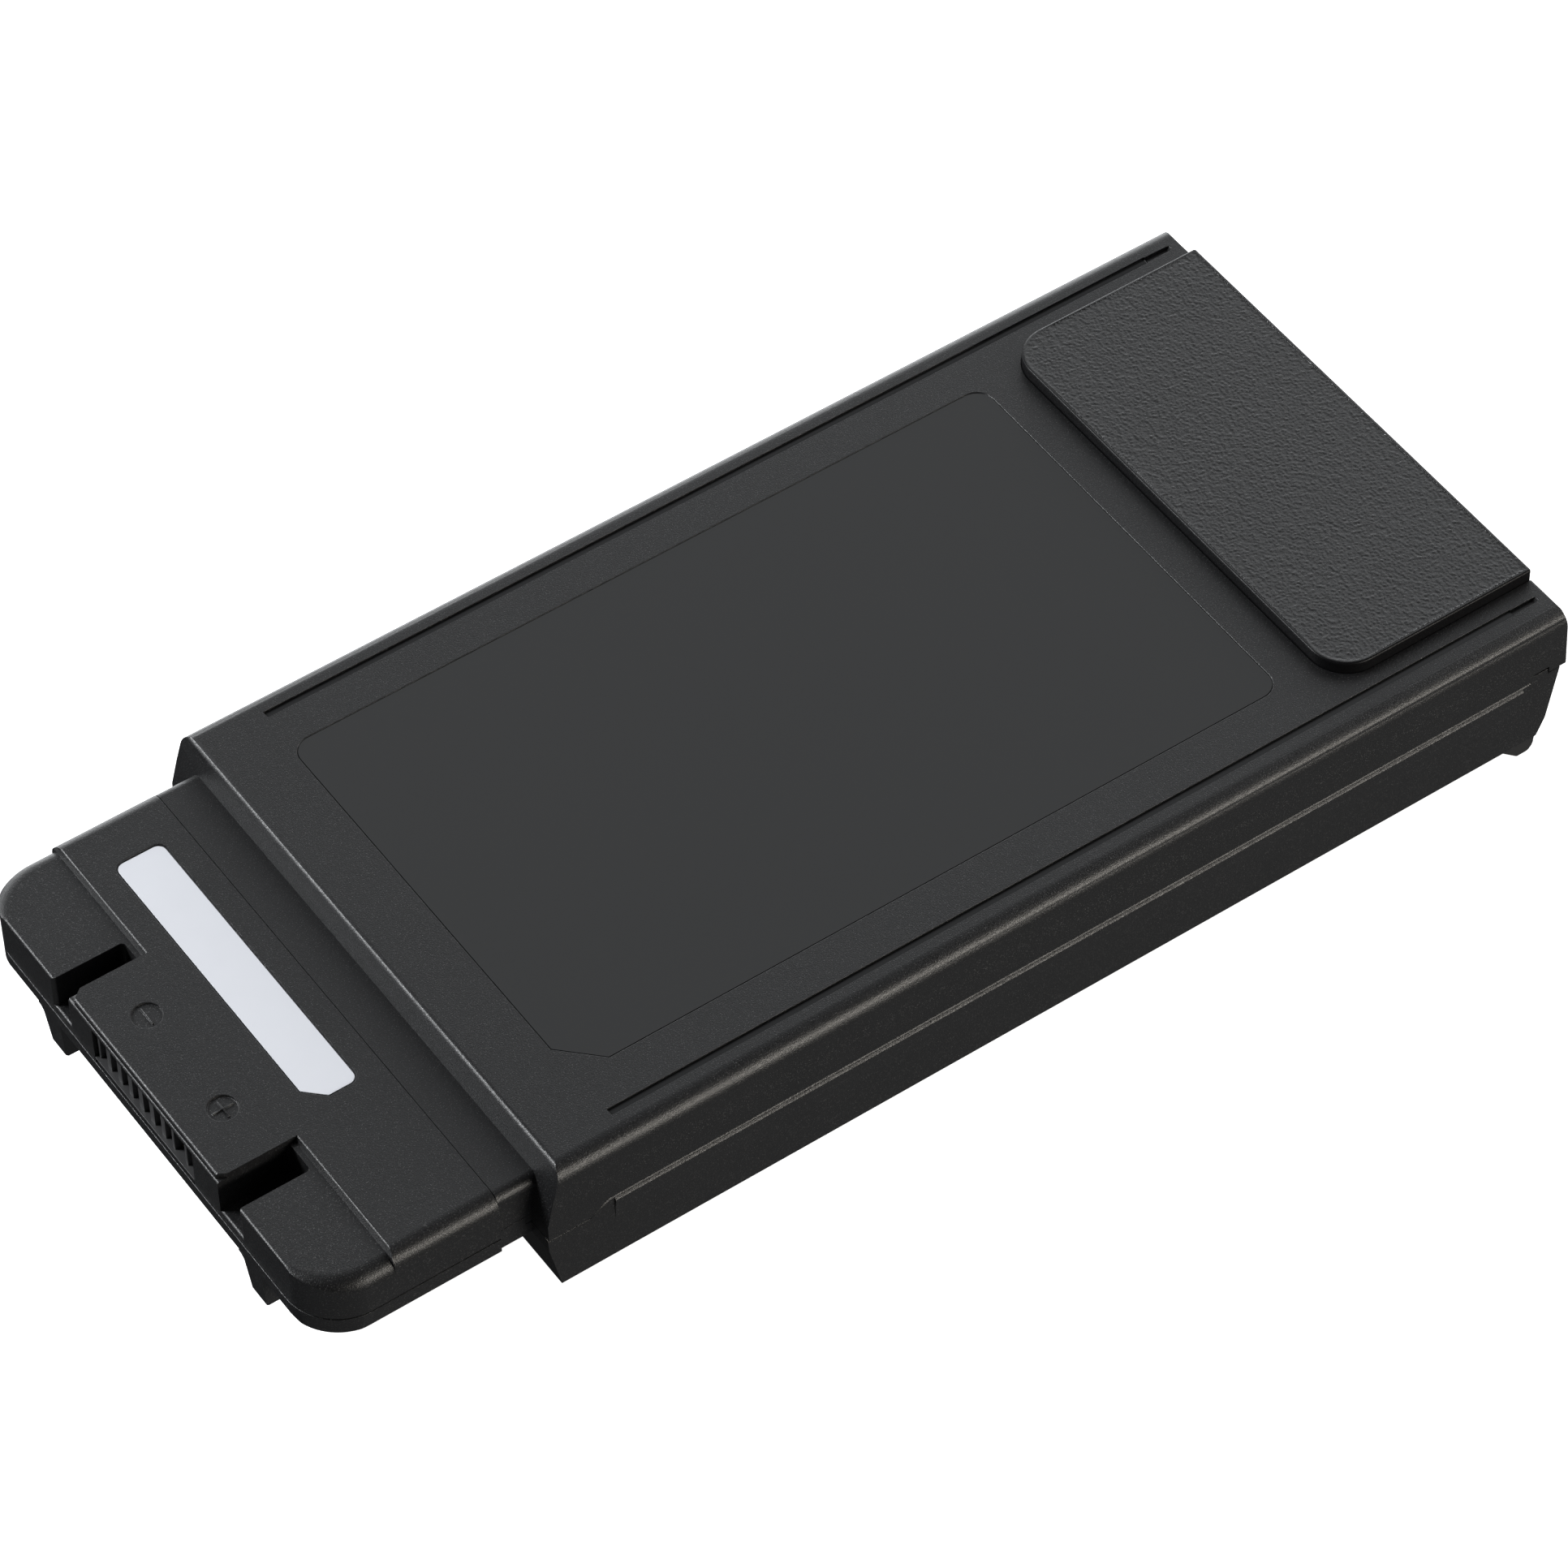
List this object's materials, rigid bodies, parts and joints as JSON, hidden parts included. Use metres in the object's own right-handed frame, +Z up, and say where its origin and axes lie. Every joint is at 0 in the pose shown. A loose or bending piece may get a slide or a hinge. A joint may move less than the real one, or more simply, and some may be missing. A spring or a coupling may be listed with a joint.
{
  "type": "lithium battery pack",
  "caption": "Flat hard-case battery pack with a slotted blade connector head, label panel and raised grip pad; pouch cells and a protection board inside.",
  "frame": {"origin": "middle of the pack's outline on the surface that its four feet rest on", "axes": "+X from the connector head to the grip end, +Y to the side with the narrower keying notch, +Z up through the label face"},
  "size_m": [0.1846, 0.085, 0.0259],
  "materials": {
    "case_black": "fine spark-eroded grain, satin black",
    "foot_rubber": "soft dull rubber",
    "heel_black": "smooth moulded heel",
    "pad_grain": "coarse leather-like grain on top, smooth sides",
    "label_dark": "smooth matt film, dark grey",
    "label_white": "smooth blank label, bluish white",
    "label_grey": "blank satin label, light grey",
    "insulator": "smooth moulded insulator",
    "contact_metal": "plated spring alloy",
    "board_green": "solder-masked glass fibre board",
    "screw_steel": "zinc plated",
    "chip_black": "moulded epoxy",
    "tinned_lead": "tinned",
    "ceramic_body": "fired ceramic",
    "shunt_metal": "resistance alloy",
    "pouch_foil": "laminated foil with a soft sheen",
    "tab_aluminium": "bare foil tab",
    "tab_nickel": "nickel strip",
    "tray_plastic": "moulded tray",
    "foam": "closed-cell foam",
    "fish_paper": "insulating paper",
    "amber_film": "amber film",
    "seal_rubber": "soft strip"
  },
  "bodies": {
    "root": {"upper_cover": "case_black", "lower_cover": "case_black", "front_feet": "foot_rubber", "rear_feet": "heel_black", "grip_pad": "pad_grain", "main_label": "label_dark", "serial_label": "label_white", "rating_label": "label_grey", "head_upper": "case_black", "head_lower": "case_black", "contact_insulator": "insulator", "contact_springs": "contact_metal", "main_board": "board_green", "board_screws": "screw_steel", "gauge_ics": "chip_black", "ic_leads": "tinned_lead", "power_switches": "chip_black", "thermal_fuse": "ceramic_body", "shunt": "shunt_metal", "passives": "ceramic_body", "cell_1": "pouch_foil", "cell_2": "pouch_foil", "cell_3": "pouch_foil", "cell_4": "pouch_foil", "cell_5": "pouch_foil", "cell_6": "pouch_foil", "tabs_plus": "tab_aluminium", "tabs_minus": "tab_nickel", "collecting_strip": "board_green", "power_leads": "tab_nickel", "cell_tray": "tray_plastic", "foam_middle": "foam", "foam_top": "foam", "bottom_sheet": "fish_paper", "board_sheet": "amber_film", "seam_seal": "seal_rubber", "thermistor": "chip_black", "sense_ribbon": "amber_film"}
  },
  "joints": []
}
